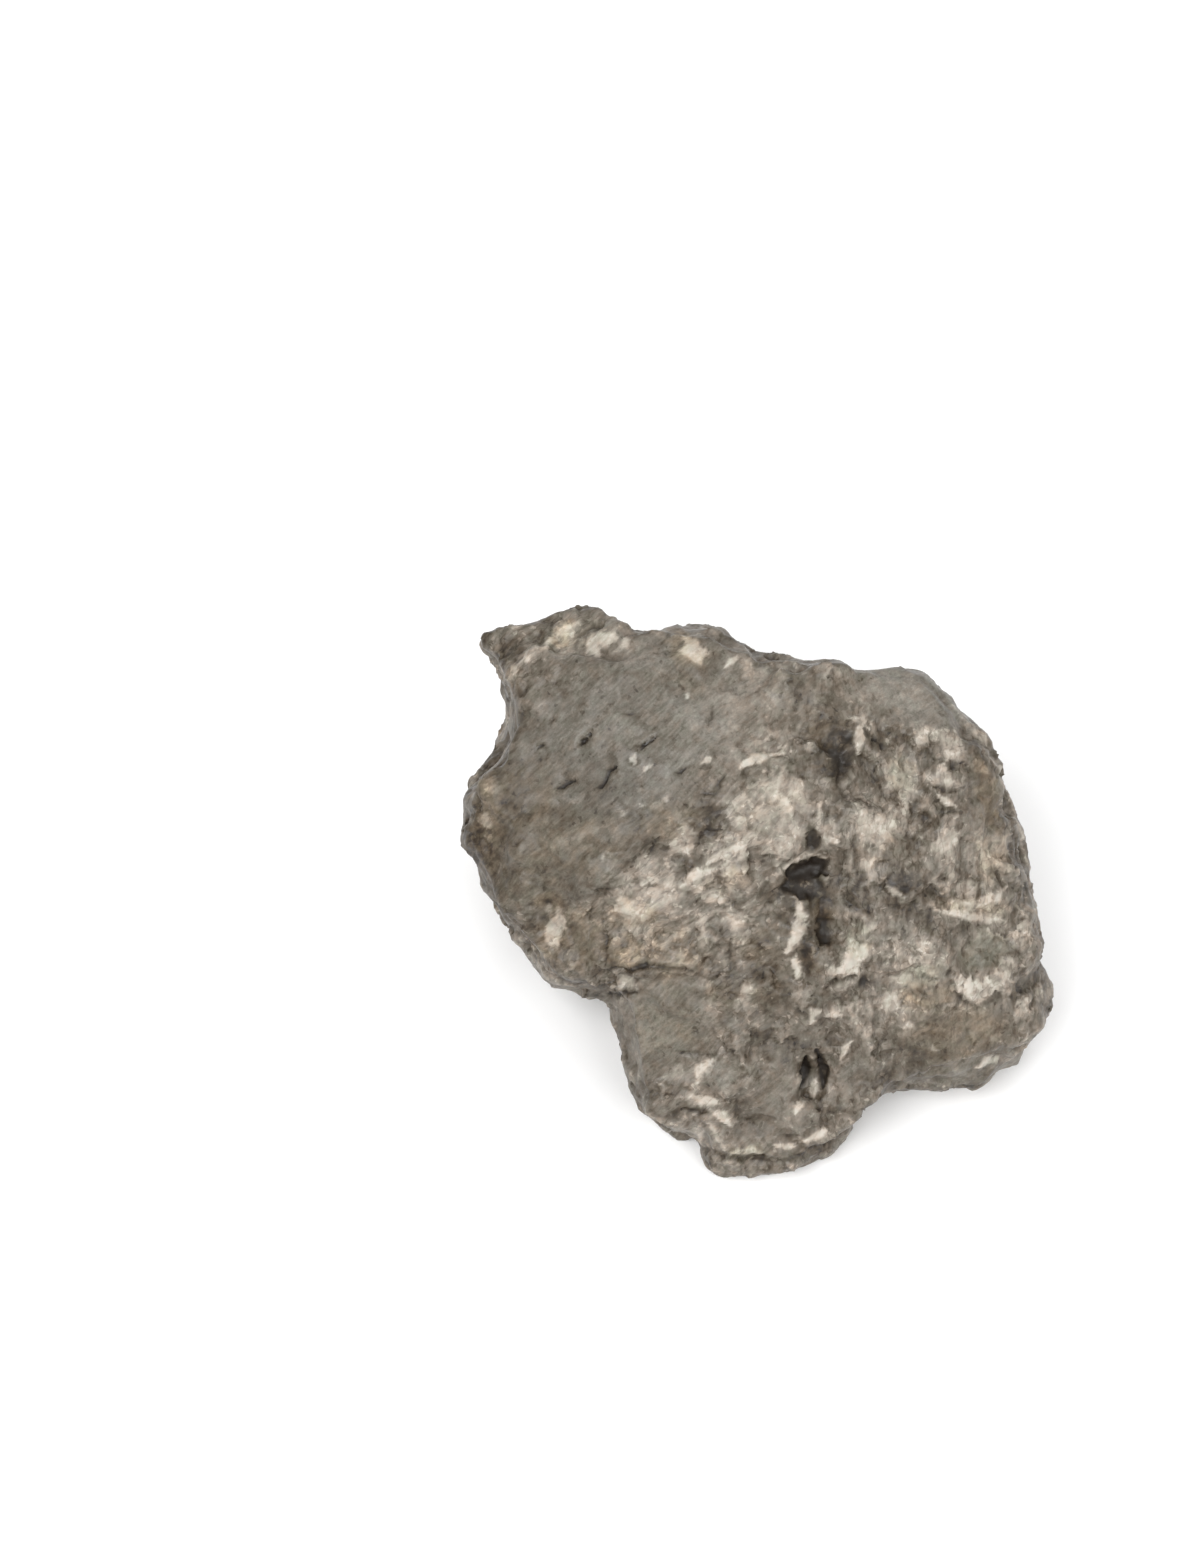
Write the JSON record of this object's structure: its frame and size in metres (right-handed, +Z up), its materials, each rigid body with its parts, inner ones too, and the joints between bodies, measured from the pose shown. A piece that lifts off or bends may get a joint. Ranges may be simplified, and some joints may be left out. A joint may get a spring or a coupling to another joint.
{
  "type": "coal lump",
  "caption": "Lump of broken coal with a smooth cleavage table, chipped ledges, pits and a protruding tongue, lying on a flat cleavage face.",
  "frame": {"origin": "on the resting face's plane, below the middle of the lump's bounding box", "axes": "+Z up from the resting face; +X along the widest direction, to the right; -Y towards the front, where the tongue is"},
  "size_m": [0.0928, 0.0806, 0.0527],
  "materials": {
    "coal": "dull grey with a silky sheen, pale and brown films on some broken faces, near-black in the pits"
  },
  "bodies": {
    "root": {"coal_lump": "coal"}
  },
  "joints": []
}
